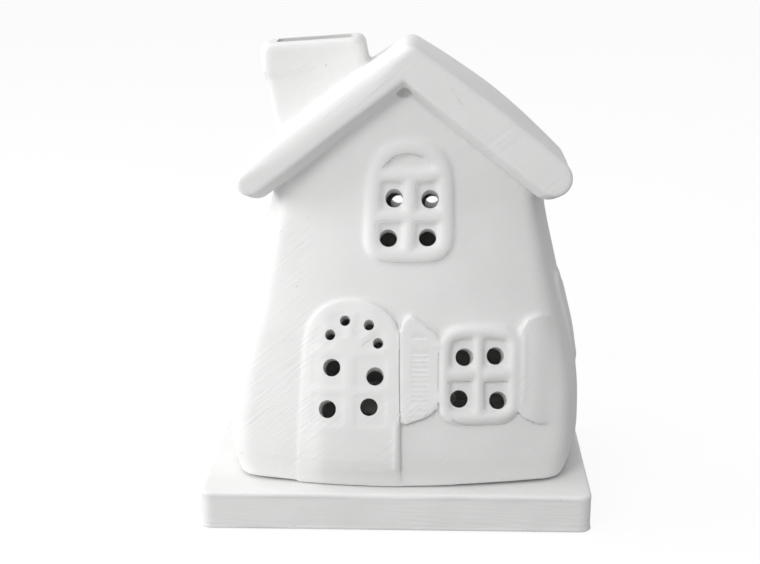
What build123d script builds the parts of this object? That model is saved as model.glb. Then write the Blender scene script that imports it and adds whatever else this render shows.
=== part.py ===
from build123d import *
import os
from math import cos, radians, sin, tan

# Base plate: a cast slab with a low plinth that centres the house and a well for the tealight
base_width = 121.5
base_depth = 100.0
base_height = 11.8
base_corner_radius = 4.0
base_edge_radius = 1.2
plinth_height = 3.0
plinth_clearance = 1.5
well_depth = 4.0
well_clearance = 1.0

# Tealight: a standard candle in a pressed cup
cup_diameter = 38.5
cup_height = 16.0
cup_sheet = 0.4
wax_depth = 11.5
wax_clearance = 0.15
sustainer_diameter = 12.0
sustainer_sheet = 0.3
sustainer_neck_diameter = 2.6
sustainer_neck_height = 6.0
sustainer_clearance = 0.15
wick_diameter = 1.4
wick_clearance = 0.08
wick_height = 19.0

# Walls of the house: a hollow bell form, widest near its foot, bowed outward in plan, set in from the slab
wall = 4.5
side_margin = 3.75
front_margin = 6.0
corner_radius = 9.0
house_offset = 1.5
house_lean = 1.1
front_bow_share = 0.17
side_bow_share = 0.105
door_place_share = -0.251
window_place_share = 0.446

# Wall form from the rim upward: height, half width and half depth, each as a share of its own size
bell_shares = (
    (0.000, 0.958, 0.964),
    (0.081, 1.000, 1.000),
    (0.243, 0.968, 0.945),
    (0.440, 0.856, 0.795),
    (0.648, 0.752, 0.660),
    (1.000, 0.700, 0.590),
)

# Roof: two bowed slopes with full round eaves, thicker on the right, and a drafted soffit
ridge_height = 148.2
roof_pitch = 37.4
eave_overhang = 10.9
barge_overhang = 8.0
left_slope_thickness = 8.2
right_slope_thickness = 9.8
roof_fall = 3.0
edge_bow = 0.8
crest_bow = 2.4
edge_ridge_radius = 4.0
crest_ridge_radius = 6.0
soffit_run = 5.5
soffit_drop = 4.0
barge_edge_radius = 2.2

# Chimney: a leaning stack with a wider upright cap on the left slope, open right through as a flue
chimney_offset = -26.5
chimney_width = 32.6
chimney_depth = 20.0
chimney_corner_radius = 3.0
chimney_rise = 20.0
chimney_root = 12.0
chimney_lean = 10.5
chimney_top_tilt = 3.0
chimney_rim_radius = 1.8
cap_height = 8.0
cap_shoulder = 3.5
cap_overhang = 0.8
flue_wall = 4.2
flue_corner_radius = 1.5
flue_root = 18.0

# Relief on the walls
frame_relief = 1.6
shutter_relief = 1.1

# Four-pane window with a pair of open shutters
window_width = 24.3
window_rise = 30.1
window_corner_radius = 5.0
window_side_border = 2.4
window_end_border = 2.9
window_mullion = 3.6
window_bar = 3.0
pane_corner_radius = 2.0
front_window_height = 46.9
side_window_height = 55.0
shutter_gap = 0.6
shutter_width = 11.0
shutter_hinge_rise = 23.0
shutter_outer_rise = 32.8
shutter_corner_radius = 1.6
hinge_tab_width = 3.0
hinge_tab_rise = 2.4
hinge_tab_spacing = 15.0
hinge_tab_radius = 0.8

# Arched attic window with a lunette over four panes
attic_offset = 3.5
attic_drop = 67.3
attic_width = 27.8
attic_rise = 37.1
attic_top_radius = 11.5
attic_foot_radius = 6.0
attic_mullion = 4.2
attic_bar = 4.3
attic_pane_width = 7.2
attic_pane_rise = 7.8
attic_foot_border = 4.8
lunette_half_width = 7.0
lunette_foot = 28.1
lunette_rise = 4.9

# Arched door panel
door_foot_width = 32.4
door_spring_width = 28.6
door_spring_height = 56.0
door_rise = 13.6
door_pane = 10.0
door_pane_relief = 0.5
door_pane_spacing = 13.0
door_pane_low_height = 37.2
door_pane_high_height = 48.2
fan_height = 54.5
fan_radius = 8.7
fan_first_angle = 18.0
fan_step_angle = 43.0
fan_hole_count = 4

# Drilled light holes, and how far each is drilled off the middle of its pane
light_hole_diameter = 5.3
fan_hole_diameter = 3.1
window_drift_shares = ((0.0, 0.0), (0.0, -0.06), (0.16, -0.08), (-0.12, -0.06))
attic_drift_shares = ((0.03, -0.15), (0.07, -0.13), (0.19, -0.14), (0.17, -0.18))
door_drift_shares = ((-0.04, -0.07), (-0.03, 0.04), (0.08, 0.10), (0.09, -0.12))

# Length by which a cutting tool passes the face it cuts
overrun = 5.0

rim_height = base_height
wall_form_height = ridge_height - rim_height
wall_half_width = base_width / 2 - side_margin
wall_half_depth = base_depth / 2 - front_margin
roof_half_span = wall_half_width * bell_shares[-1][1] + eave_overhang
roof_half_depth = wall_half_depth * bell_shares[-1][2] + barge_overhang
door_offset = wall_half_width * door_place_share
front_window_offset = wall_half_width * window_place_share
attic_foot_height = ridge_height - attic_drop
plinth_top = base_height + plinth_height
well_floor = plinth_top - well_depth
cup_floor = well_floor + cup_sheet
slope_run = tan(radians(roof_pitch))
slope_cos = cos(radians(roof_pitch))
slope_sin = sin(radians(roof_pitch))
ridge_offset = house_offset + house_lean
chimney_slope_height = ridge_height - (ridge_offset - chimney_offset) * slope_run
chimney_top_height = chimney_slope_height + chimney_rise
chimney_foot_height = chimney_slope_height - chimney_root
flue_foot_height = chimney_slope_height - flue_root
reach = base_width

front_plane = Plane((0, 0, 0), x_dir=(1, 0, 0), z_dir=(0, -1, 0))
back_plane = Plane((0, 0, 0), x_dir=(-1, 0, 0), z_dir=(0, 1, 0))
right_plane = Plane((0, 0, 0), x_dir=(0, 1, 0), z_dir=(1, 0, 0))
left_plane = Plane((0, 0, 0), x_dir=(0, -1, 0), z_dir=(-1, 0, 0))


def wall_plan(height_share, width_share, depth_share, growth):
    """Plan of the walls at one height: four bowed sides with rounded corners."""
    middle = house_offset + house_lean * height_share
    half_width = wall_half_width * width_share + growth
    half_depth = wall_half_depth * depth_share + growth
    corner_x = half_width - wall_half_width * width_share * side_bow_share
    corner_y = half_depth - wall_half_depth * depth_share * front_bow_share
    front_left = (middle - corner_x, -corner_y)
    front_right = (middle + corner_x, -corner_y)
    back_right = (middle + corner_x, corner_y)
    back_left = (middle - corner_x, corner_y)
    outline = [
        ThreePointArc(front_left, (middle, -half_depth), front_right),
        ThreePointArc(front_right, (middle + half_width, 0), back_right),
        ThreePointArc(back_right, (middle, half_depth), back_left),
        ThreePointArc(back_left, (middle - half_width, 0), front_left),
    ]
    face = make_face(outline)
    face = fillet(face.vertices(), corner_radius + growth)
    return Pos(0, 0, rim_height + wall_form_height * height_share) * face


def wall_form(growth):
    """Bell-shaped body inside the wall surface moved outward by the growth."""
    return loft([wall_plan(*row, growth) for row in bell_shares])


def gable_prism(depth_below_top):
    """Everything under the two slopes, measured square to the slope from its top."""
    apex = ridge_height - depth_below_top / slope_cos
    eave = apex - reach * slope_run
    outline = Polyline(
        (ridge_offset, apex),
        (ridge_offset + reach, eave),
        (ridge_offset + reach, -reach),
        (ridge_offset - reach, -reach),
        (ridge_offset - reach, eave),
        close=True,
    )
    return extrude(front_plane * make_face(outline), amount=reach, both=True)


def slope_points(side, thickness, bow):
    """Points of one slope from ridge to eave: its bowed top and the round nose that ends it."""
    nose = thickness / 2
    down = Vector(side * slope_cos, -slope_sin)
    out = Vector(side * slope_sin, slope_cos)
    ridge = Vector(ridge_offset, ridge_height)
    top_length = (roof_half_span - nose + nose * slope_sin) / slope_cos
    top_end = ridge + down * top_length
    top_middle = ridge + down * (top_length / 2) + out * bow
    nose_middle = top_end - out * nose
    return ridge, top_middle, top_end, nose_middle + down * nose, top_end - out * thickness


def roof_section(place, bow, ridge_radius, drop):
    """Cross-section of the roof at one depth, its underside lowered by the drop."""
    left = slope_points(-1, left_slope_thickness, bow)
    right = slope_points(1, right_slope_thickness, bow)
    ridge = right[0]
    thickness_step = right_slope_thickness - left_slope_thickness
    under_x = ridge_offset - thickness_step / (2 * slope_sin)
    under_z = ridge_height - (left_slope_thickness + right_slope_thickness) / (2 * slope_cos)
    lower = Vector(0, -drop)
    under = Vector(under_x, under_z) + lower
    right_foot = right[4] + lower
    left_foot = left[4] + lower
    outline = [
        ThreePointArc(ridge, right[1], right[2]),
        ThreePointArc(right[2], right[3], right_foot),
        Line(right_foot, under),
        Line(under, left_foot),
        ThreePointArc(left_foot, left[3], left[2]),
        ThreePointArc(left[2], left[1], ridge),
    ]
    face = make_face(outline)
    top = face.vertices().sort_by(Axis.Y)[-1]
    face = fillet(top, ridge_radius)
    fall = roof_fall * max(place, 0) / roof_half_depth
    return Plane((0, place, -fall), x_dir=(1, 0, 0), z_dir=(0, -1, 0)) * face


def roof():
    """Roof slab: barge faces at front and back, soffits drafted down to the walls, crest at mid depth."""
    inner = roof_half_depth - soffit_run
    inner_share = soffit_run / roof_half_depth
    inner_bow = edge_bow + (crest_bow - edge_bow) * inner_share
    inner_radius = edge_ridge_radius + (crest_ridge_radius - edge_ridge_radius) * inner_share
    sections = [
        roof_section(-roof_half_depth, edge_bow, edge_ridge_radius, 0),
        roof_section(-inner, inner_bow, inner_radius, soffit_drop),
        roof_section(0, crest_bow, crest_ridge_radius, soffit_drop),
        roof_section(inner, inner_bow, inner_radius, soffit_drop),
        roof_section(roof_half_depth, edge_bow, edge_ridge_radius, 0),
    ]
    slab = loft(sections, ruled=True)
    barges = slab.faces().sort_by(Axis.Y)
    return fillet(barges[0].edges() + barges[-1].edges(), barge_edge_radius)


def chimney_section(height, growth, radius, tilt):
    """Level or slightly tilted cross-section of the stack, moved sideways by the lean below the cap."""
    below_cap = max(chimney_top_height - cap_height - height, 0)
    shift = below_cap * tan(radians(chimney_lean))
    along = (cos(radians(tilt)), 0, sin(radians(tilt)))
    upward = (-sin(radians(tilt)), 0, cos(radians(tilt)))
    plane = Plane((chimney_offset + shift, 0, height), x_dir=along, z_dir=upward)
    return plane * RectangleRounded(chimney_width + 2 * growth, chimney_depth + 2 * growth, radius)


def chimney():
    """Stack from inside the roof to the rounded rim of the cap."""
    cap_foot = chimney_top_height - cap_height
    cap_radius = chimney_corner_radius + cap_overhang
    stack = loft([
        chimney_section(chimney_foot_height, 0, chimney_corner_radius, 0),
        chimney_section(cap_foot - cap_shoulder, 0, chimney_corner_radius, 0),
        chimney_section(cap_foot, cap_overhang, cap_radius, chimney_top_tilt),
        chimney_section(chimney_top_height, cap_overhang, cap_radius, chimney_top_tilt),
    ], ruled=True)
    return fillet(stack.faces().sort_by(Axis.Z)[-1].edges(), chimney_rim_radius)


def flue():
    """Open way through the stack."""
    return loft([
        chimney_section(flue_foot_height, -flue_wall, flue_corner_radius, 0),
        chimney_section(chimney_top_height - cap_height, -flue_wall, flue_corner_radius, 0),
        chimney_section(chimney_top_height + overrun, -flue_wall, flue_corner_radius, 0),
    ], ruled=True)


def window_pane_size():
    """Width and rise of one pane of the four-pane window."""
    width = (window_width - 2 * window_side_border - window_mullion) / 2
    rise = (window_rise - 2 * window_end_border - window_bar) / 2
    return width, rise


def four_places(step_x, step_z):
    """Middles of four panes, lower pair first, left before right."""
    return [(x * step_x / 2, z * step_z / 2) for z in (-1, 1) for x in (-1, 1)]


def window_places():
    """Middles of the window's panes about the window's own middle."""
    width, rise = window_pane_size()
    return four_places(width + window_mullion, rise + window_bar)


def window_frame():
    """Outline of the raised window frame with its hinge tabs."""
    frame = Sketch() + RectangleRounded(window_width, window_rise, window_corner_radius)
    for x in (-1, 1):
        for z in (-1, 1):
            place = Pos(x * window_width / 2, z * hinge_tab_spacing / 2)
            frame += place * RectangleRounded(hinge_tab_width, hinge_tab_rise, hinge_tab_radius)
    return frame


def window_panes():
    """Outlines of the four recessed panes."""
    width, rise = window_pane_size()
    pane = RectangleRounded(width, rise, pane_corner_radius)
    return Sketch() + [Pos(*place) * pane for place in window_places()]


def shutters():
    """Outlines of the two open shutters, taller at their outer edges."""
    hinge = window_width / 2 + shutter_gap
    outer = hinge + shutter_width
    pair = Sketch()
    for side in (-1, 1):
        leaf = make_face(Polyline(
            (side * hinge, -shutter_hinge_rise / 2),
            (side * outer, -shutter_outer_rise / 2),
            (side * outer, shutter_outer_rise / 2),
            (side * hinge, shutter_hinge_rise / 2),
            close=True,
        ))
        pair += fillet(leaf.vertices(), shutter_corner_radius)
    return pair


def attic_frame():
    """Outline of the raised attic window frame, standing on its foot."""
    frame = Pos(0, attic_rise / 2) * Rectangle(attic_width, attic_rise)
    frame = fillet(frame.vertices().group_by(Axis.Y)[-1], attic_top_radius)
    return fillet(frame.vertices().group_by(Axis.Y)[0], attic_foot_radius)


def attic_places():
    """Middles of the attic panes above the foot of the frame."""
    middle = attic_foot_border + attic_pane_rise + attic_bar / 2
    steps = four_places(attic_pane_width + attic_mullion, attic_pane_rise + attic_bar)
    return [(x, middle + z) for x, z in steps]


def attic_panes():
    """Outlines of the attic panes and of the lunette over them."""
    pane = RectangleRounded(attic_pane_width, attic_pane_rise, pane_corner_radius)
    lunette = make_face([
        ThreePointArc(
            (lunette_half_width, lunette_foot),
            (0, lunette_foot + lunette_rise),
            (-lunette_half_width, lunette_foot),
        ),
        Line((-lunette_half_width, lunette_foot), (lunette_half_width, lunette_foot)),
    ])
    return Sketch() + lunette + [Pos(*place) * pane for place in attic_places()]


def door_outline():
    """Outline of the raised door, a little wider at its foot."""
    foot = door_foot_width / 2
    spring = door_spring_width / 2
    return make_face([
        Line((-foot, rim_height), (foot, rim_height)),
        Line((foot, rim_height), (spring, door_spring_height)),
        ThreePointArc(
            (spring, door_spring_height),
            (0, door_spring_height + door_rise),
            (-spring, door_spring_height),
        ),
        Line((-spring, door_spring_height), (-foot, rim_height)),
    ])


def door_places():
    """Middles of the door's four panes, from the ground."""
    middle = (door_pane_low_height + door_pane_high_height) / 2
    steps = four_places(door_pane_spacing, door_pane_high_height - door_pane_low_height)
    return [(x, middle + z) for x, z in steps]


def door_panes():
    """Outlines of the door's faint square panes."""
    pane = RectangleRounded(door_pane, door_pane, pane_corner_radius)
    return Sketch() + [Pos(*place) * pane for place in door_places()]


def fan_places():
    """Middles of the small holes fanned round the head of the door."""
    angles = [radians(fan_first_angle + step * fan_step_angle) for step in range(fan_hole_count)]
    return [(fan_radius * cos(angle), fan_height + fan_radius * sin(angle)) for angle in angles]


def holes_at(places, drift_shares, width, rise):
    """Light holes near the middles of their panes, each with its own drift."""
    hole = Circle(light_hole_diameter / 2)
    pairs = zip(places, drift_shares)
    return Sketch() + [Pos(x + dx * width, z + dz * rise) * hole for (x, z), (dx, dz) in pairs]


def window_holes():
    """Light holes of the four-pane window."""
    return holes_at(window_places(), window_drift_shares, *window_pane_size())


def attic_holes():
    """Light holes of the attic window."""
    return holes_at(attic_places(), attic_drift_shares, attic_pane_width, attic_pane_rise)


def door_holes():
    """Light holes of the door: four panes and the fan above them."""
    fan = Circle(fan_hole_diameter / 2)
    panes = holes_at(door_places(), door_drift_shares, door_pane, door_pane)
    return panes + [Pos(*place) * fan for place in fan_places()]


front_window_seat = front_plane * Pos(front_window_offset, front_window_height)
front_attic_seat = front_plane * Pos(attic_offset, attic_foot_height)
door_seat = front_plane * Pos(door_offset, 0)
back_window_seat = back_plane * Pos(-house_offset, front_window_height)
back_attic_seat = back_plane * Pos(-attic_offset, attic_foot_height)
right_window_seat = right_plane * Pos(0, side_window_height)
left_window_seat = left_plane * Pos(0, side_window_height)
window_seats = (front_window_seat, back_window_seat, right_window_seat, left_window_seat)
attic_seats = (front_attic_seat, back_attic_seat)


def outward(seat, sketch):
    """Prism from the middle of the house out through one wall."""
    return extrude(seat * sketch, amount=reach)


def relief_prisms():
    """Prisms of everything raised by the frame relief."""
    prisms = [outward(door_seat, door_outline())]
    prisms += [outward(seat, window_frame()) for seat in window_seats]
    prisms += [outward(seat, attic_frame()) for seat in attic_seats]
    return prisms


def pane_prisms():
    """Prisms of every pane that is recessed to the wall."""
    prisms = [outward(seat, window_panes()) for seat in window_seats]
    prisms += [outward(seat, attic_panes()) for seat in attic_seats]
    return prisms


def hole_prisms():
    """Every drilled hole."""
    prisms = [outward(door_seat, door_holes())]
    prisms += [outward(seat, window_holes()) for seat in window_seats]
    prisms += [outward(seat, attic_holes()) for seat in attic_seats]
    return prisms


def house_shell():
    """The casting: walls, roof, chimney and relief, hollow inside and drilled."""
    walls = wall_form(0)
    shutter_form = wall_form(shutter_relief)
    frame_form = wall_form(frame_relief)
    door_pane_form = wall_form(frame_relief - door_pane_relief)
    raised = [shutter_form & outward(seat, shutters()) for seat in window_seats]
    raised += [frame_form & prism for prism in relief_prisms()]
    recesses = [prism - walls for prism in pane_prisms()]
    recesses.append(outward(door_seat, door_panes()) - door_pane_form)
    body = walls + raised
    body = body - recesses
    body = body & gable_prism(right_slope_thickness / 2)
    body = body + [roof(), chimney()]
    cavity = wall_form(-wall) & gable_prism(wall)
    return body - [cavity, flue(), *hole_prisms()]


def disc(diameter, foot, height):
    """Upright cylinder standing at a height."""
    return Pos(0, 0, foot) * extrude(Circle(diameter / 2), amount=height)


def base_plate():
    """Slab with rounded edges, the plinth inside the house's rim and the tealight's well."""
    slab = extrude(RectangleRounded(base_width, base_depth, base_corner_radius), amount=base_height)
    level_faces = slab.faces().sort_by(Axis.Z)
    slab = fillet(level_faces[0].edges() + level_faces[-1].edges(), base_edge_radius)
    plinth = extrude(wall_plan(*bell_shares[0], -wall - plinth_clearance), amount=plinth_height)
    return slab + plinth - disc(cup_diameter + 2 * well_clearance, well_floor, well_depth + overrun)


def tealight_cup():
    """Pressed cup standing on the floor of the well."""
    inner = cup_diameter - 2 * cup_sheet
    return disc(cup_diameter, well_floor, cup_height) - disc(inner, cup_floor, cup_height)


def wick_sustainer():
    """Tab on the floor of the cup with a neck round the foot of the wick."""
    neck_bore = wick_diameter + 2 * wick_clearance
    tab = disc(sustainer_diameter, cup_floor, sustainer_sheet)
    tab += disc(sustainer_neck_diameter, cup_floor, sustainer_neck_height)
    return tab - disc(neck_bore, cup_floor + sustainer_sheet, sustainer_neck_height)


def tealight_wax():
    """Wax cast round the tab, its neck and the wick."""
    wax = disc(cup_diameter - 2 * cup_sheet - 2 * wax_clearance, cup_floor, wax_depth)
    wax -= disc(sustainer_diameter + 2 * sustainer_clearance, cup_floor, sustainer_sheet)
    neck_way = sustainer_neck_diameter + 2 * sustainer_clearance
    wax -= disc(neck_way, cup_floor, sustainer_neck_height + sustainer_clearance)
    return wax - disc(wick_diameter + 2 * wick_clearance, cup_floor, wax_depth + overrun)


def tealight_wick():
    """Wick standing in the neck of the tab."""
    return disc(wick_diameter, cup_floor + sustainer_sheet, wick_height - sustainer_sheet)


os.makedirs("parts", exist_ok=True)
for piece in (house_shell, base_plate, tealight_cup, tealight_wax, wick_sustainer, tealight_wick):
    export_step(piece(), f"parts/{piece.__name__}.step")
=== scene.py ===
import bpy
from math import acos, atan2, cos, hypot, pi, radians, sin, sqrt, tan
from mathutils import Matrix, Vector


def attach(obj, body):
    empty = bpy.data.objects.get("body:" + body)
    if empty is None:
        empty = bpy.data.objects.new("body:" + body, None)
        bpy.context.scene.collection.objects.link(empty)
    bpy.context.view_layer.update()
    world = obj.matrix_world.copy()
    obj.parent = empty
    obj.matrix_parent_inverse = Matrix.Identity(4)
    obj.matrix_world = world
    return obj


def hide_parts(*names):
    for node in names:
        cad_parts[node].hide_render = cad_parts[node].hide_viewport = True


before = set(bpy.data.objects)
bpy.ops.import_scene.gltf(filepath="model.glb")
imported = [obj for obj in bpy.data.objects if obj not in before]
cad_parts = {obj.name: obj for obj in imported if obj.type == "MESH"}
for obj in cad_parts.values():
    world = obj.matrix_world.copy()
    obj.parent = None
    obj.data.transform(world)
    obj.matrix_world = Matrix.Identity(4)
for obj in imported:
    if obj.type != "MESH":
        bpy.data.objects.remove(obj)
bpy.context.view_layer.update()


# Base plate: a slab of white casting clay, fired once and left unglazed.
# Its edges are rubbed with a damp sponge, a low plinth on it centres the house that stands
# over it, and a round well in the plinth takes the tealight.
slab_width = 0.1215
slab_depth = 0.1000
slab_height = 0.0118
slab_corner_radius = 0.0040
slab_least_corner = 0.0008
slab_top_round = 0.0013
slab_foot_round = 0.0006
slab_voxel = 0.0005
side_wave = 0.0007
side_wave_breadth = 0.0160
plinth_half_width = 0.0486
plinth_half_depth = 0.0364
plinth_corner = 0.0040
plinth_height = 0.0030
plinth_edge = 0.0008
plinth_sunk = 0.0020
well_radius = 0.02025
well_floor = 0.0108
well_reach = 0.0200
house_middle = 0.0015
front_bow_share = 0.17
side_bow_share = 0.105


def pick(piece):
    """Selects one piece alone and makes it the active one."""
    bpy.ops.object.select_all(action="DESELECT")
    piece.select_set(True)
    bpy.context.view_layer.objects.active = piece


def finish_with(piece, kind, **settings):
    """Adds one modifier to a piece and applies it."""
    pick(piece)
    modifier = piece.modifiers.new(kind.lower(), kind)
    for name, value in settings.items():
        setattr(modifier, name, value)
    bpy.ops.object.modifier_apply(modifier=modifier.name)


def carve(piece, tool, operation="DIFFERENCE", keep=False):
    """Cuts a piece with a tool shape and throws the tool away."""
    finish_with(piece, "BOOLEAN", object=tool, operation=operation, solver="MANIFOLD")
    if not keep:
        bpy.data.objects.remove(tool, do_unlink=True)


def join(pieces):
    """Joins pieces into the first of them."""
    pick(pieces[0])
    for piece in pieces[1:]:
        piece.select_set(True)
    bpy.ops.object.join()
    return pieces[0]


def face_outward():
    """Turns every face of the piece in edit mode outward."""
    bpy.ops.mesh.select_all(action="SELECT")
    bpy.ops.mesh.normals_make_consistent(inside=False)


def build_up(name, rings):
    """Closed form through rings of points: a filled ring is extruded once for each further ring."""
    count, rise = len(rings[0]), 0.001
    bpy.ops.object.select_all(action="DESELECT")
    bpy.ops.mesh.primitive_circle_add(vertices=count, radius=0.01, fill_type="NGON")
    form = bpy.context.object
    form.name = name
    bpy.ops.object.mode_set(mode="EDIT")
    for _ in rings[1:]:
        bpy.ops.mesh.extrude_region_move(TRANSFORM_OT_translate={"value": (0, 0, rise)})
    bpy.ops.object.mode_set(mode="OBJECT")
    for vertex in form.data.vertices:
        turn = (atan2(vertex.co.y, vertex.co.x) / (2 * pi) - 0.25) * count
        vertex.co = rings[round(vertex.co.z / rise)][round(turn) % count]
    bpy.ops.object.mode_set(mode="EDIT")
    face_outward()
    bpy.ops.object.mode_set(mode="OBJECT")
    return form


def bowed_plan(half_width, half_depth, corner, growth=0.0):
    """Plan of the house: four bowed sides that run into round corners, front middle first."""
    corner_x = half_width + growth - half_width * side_bow_share
    corner_y = half_depth + growth - half_depth * front_bow_share
    width = half_width + growth
    depth = half_depth + growth
    front_sag = depth - corner_y
    side_sag = width - corner_x
    front_radius = (corner_x ** 2 + front_sag ** 2) / (2 * front_sag)
    side_radius = (corner_y ** 2 + side_sag ** 2) / (2 * side_sag)
    front_centre = Vector((0, front_radius - depth))
    side_centre = Vector((width - side_radius, 0))
    corner_radius = corner + growth
    to_front = front_radius - corner_radius
    to_side = side_radius - corner_radius
    apart = side_centre - front_centre
    along = (to_front ** 2 - to_side ** 2 + apart.length_squared) / (2 * apart.length)
    across = sqrt(to_front ** 2 - along ** 2)
    line = apart.normalized()
    offset = Vector((line.y, -line.x)) * across
    if offset.x < 0:
        offset = -offset
    corner_centre = front_centre + line * along + offset
    front_end = atan2(*(corner_centre - front_centre).yx)
    side_end = atan2(*(corner_centre - side_centre).yx)
    stretches = (
        (front_centre, front_radius, -pi / 2, front_end, 26),
        (corner_centre, corner_radius, front_end, side_end, 8),
        (side_centre, side_radius, side_end, 0.0, 14),
    )
    quarter = []
    for centre, radius, start, end, steps in stretches:
        for step in range(steps):
            angle = start + (end - start) * step / steps
            quarter.append((centre.x + radius * cos(angle), centre.y + radius * sin(angle)))
    half = quarter + [(width, 0.0)] + [(x, -y) for x, y in reversed(quarter)]
    return half + [(-x, y) for x, y in reversed(half[1:-1])]


def plinth_rings():
    """Rings of the plinth with a broken upper edge."""
    top = slab_height + plinth_height
    rings = []
    for z, inset in ((slab_height - plinth_sunk, 0.0), (top - plinth_edge, 0.0), (top, -plinth_edge)):
        plan = bowed_plan(plinth_half_width + inset, plinth_half_depth + inset, plinth_corner)
        rings.append([(x + house_middle, y, z) for x, y in plan])
    return rings


def arc_points(start, middle, end, steps):
    """Points on the circle through three points, without the last one."""
    (ax, ay), (bx, by), (cx, cy) = start, middle, end
    a_square, b_square, c_square = ax * ax + ay * ay, bx * bx + by * by, cx * cx + cy * cy
    twice = 2 * (ax * (by - cy) + bx * (cy - ay) + cx * (ay - by))
    ux = (a_square * (by - cy) + b_square * (cy - ay) + c_square * (ay - by)) / twice
    uy = (a_square * (cx - bx) + b_square * (ax - cx) + c_square * (bx - ax)) / twice
    radius = hypot(ax - ux, ay - uy)
    first, through, last = (atan2(y - uy, x - ux) for x, y in (start, middle, end))
    turn = (last - first) % (2 * pi)
    if (through - first) % (2 * pi) > turn:
        turn -= 2 * pi
    angles = [first + turn * step / steps for step in range(steps)]
    return [(ux + radius * cos(angle), uy + radius * sin(angle)) for angle in angles]


def rounded(corners, steps=6):
    """Outline with round corners; each corner is x, y and its radius."""
    points = []
    count = len(corners)
    for index, (x, y, radius) in enumerate(corners):
        here = Vector((x, y))
        back = (Vector(corners[index - 1][:2]) - here).normalized()
        ahead = (Vector(corners[(index + 1) % count][:2]) - here).normalized()
        half = acos(max(-1.0, min(1.0, back.dot(ahead)))) / 2
        reach = radius / tan(half)
        start, end = here + back * reach, here + ahead * reach
        centre = here + (back + ahead).normalized() * (radius / sin(half))
        points += arc_points(start, centre + (here - centre).normalized() * radius, end, steps)
        points.append(tuple(end))
    return points


def slab_outline(inset):
    """Outline of the slab drawn in by an inset."""
    x, y = slab_width / 2 - inset, slab_depth / 2 - inset
    radius = max(slab_corner_radius - inset, slab_least_corner)
    return rounded([(x, -y, radius), (x, y, radius), (-x, y, radius), (-x, -y, radius)])


def slab_rings():
    """Rings of the slab, with a soft upper edge and a crisper foot."""
    turns = [pi / 2 * step / 6 for step in range(7)]
    foot = [(slab_foot_round * (1 - cos(turn)), slab_foot_round * (1 - sin(turn))) for turn in turns]
    top = [
        (slab_height - slab_top_round * (1 - cos(turn)), slab_top_round * (1 - sin(turn)))
        for turn in reversed(turns)
    ]
    return [[(x, y, z) for x, y in slab_outline(inset)] for z, inset in foot + top]


base_slab = build_up("base_slab", slab_rings())
base_slab = join([base_slab, build_up("plinth", plinth_rings())])
finish_with(base_slab, "REMESH", mode="VOXEL", voxel_size=slab_voxel)
finish_with(base_slab, "SMOOTH", factor=0.5, iterations=3)


def waves(name, breadth):
    """Soft clouds that leave a surface a little wavy."""
    texture = bpy.data.textures.new(name, "CLOUDS")
    texture.noise_scale = breadth
    texture.noise_depth = 1
    return texture


# Hand finishing leaves the slab's sides a little wavy, while its top and underside stay flat.
sides = base_slab.vertex_groups.new(name="sides")
for vertex in base_slab.data.vertices:
    sides.add([vertex.index], max(0.0, 1 - abs(vertex.normal.z) * 1.6), "REPLACE")
finish_with(
    base_slab, "DISPLACE", texture=waves("sponge_waves", side_wave_breadth), texture_coords="LOCAL",
    strength=side_wave, mid_level=1.0, vertex_group="sides",
)
finish_with(base_slab, "DECIMATE", ratio=0.3)
bpy.ops.object.select_all(action="DESELECT")
bpy.ops.mesh.primitive_cylinder_add(
    vertices=96, radius=well_radius, depth=well_reach, location=(0, 0, well_floor + well_reach / 2),
)
bpy.ops.object.transform_apply(location=True)
carve(base_slab, bpy.context.object)


def smooth(piece, degrees):
    """Shades a piece smooth, but for edges where its faces meet at more than an angle."""
    pick(piece)
    bpy.ops.object.shade_smooth_by_angle(angle=radians(degrees))


smooth(base_slab, 35)


def node(tree, kind, **values):
    """Adds a node; keys that name an input set it or link it, the others set the node's own settings."""
    made = tree.nodes.new(kind)
    for key, value in values.items():
        label = key.replace("_", " ")
        if isinstance(value, bpy.types.NodeSocket):
            tree.links.new(value, made.inputs[label])
        elif label in made.inputs:
            made.inputs[label].default_value = value
        else:
            setattr(made, key, value)
    return made


def math(tree, operation, first, second=None, third=None):
    """Math node fed by sockets or plain numbers."""
    made = node(tree, "ShaderNodeMath", operation=operation)
    for index, value in enumerate((first, second, third)):
        if value is None:
            continue
        if isinstance(value, (int, float)):
            made.inputs[index].default_value = value
        else:
            tree.links.new(value, made.inputs[index])
    return made.outputs[0]


def blend(tree, factor, first, second, way="MIX"):
    """Two colours blended by a mask; a colour is three numbers or a socket."""
    made = node(tree, "ShaderNodeMix", data_type="RGBA", blend_type=way, Factor=factor)
    for index, colour in ((6, first), (7, second)):
        if isinstance(colour, tuple):
            made.inputs[index].default_value = (*colour, 1)
        else:
            tree.links.new(colour, made.inputs[index])
    return made.outputs[2]


def new_group(name, inputs, outputs):
    """Shader group with vector inputs and float outputs."""
    group = bpy.data.node_groups.new(name, "ShaderNodeTree")
    for label in inputs:
        group.interface.new_socket(label, in_out="INPUT", socket_type="NodeSocketVector")
    for label in outputs:
        group.interface.new_socket(label, in_out="OUTPUT", socket_type="NodeSocketFloat")
    return group, group.nodes.new("NodeGroupInput"), group.nodes.new("NodeGroupOutput")


stroke_stretch = (75, 75, 1250)
side_stroke_turn = radians(-28)
pinhole_depth = 0.00018


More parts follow.
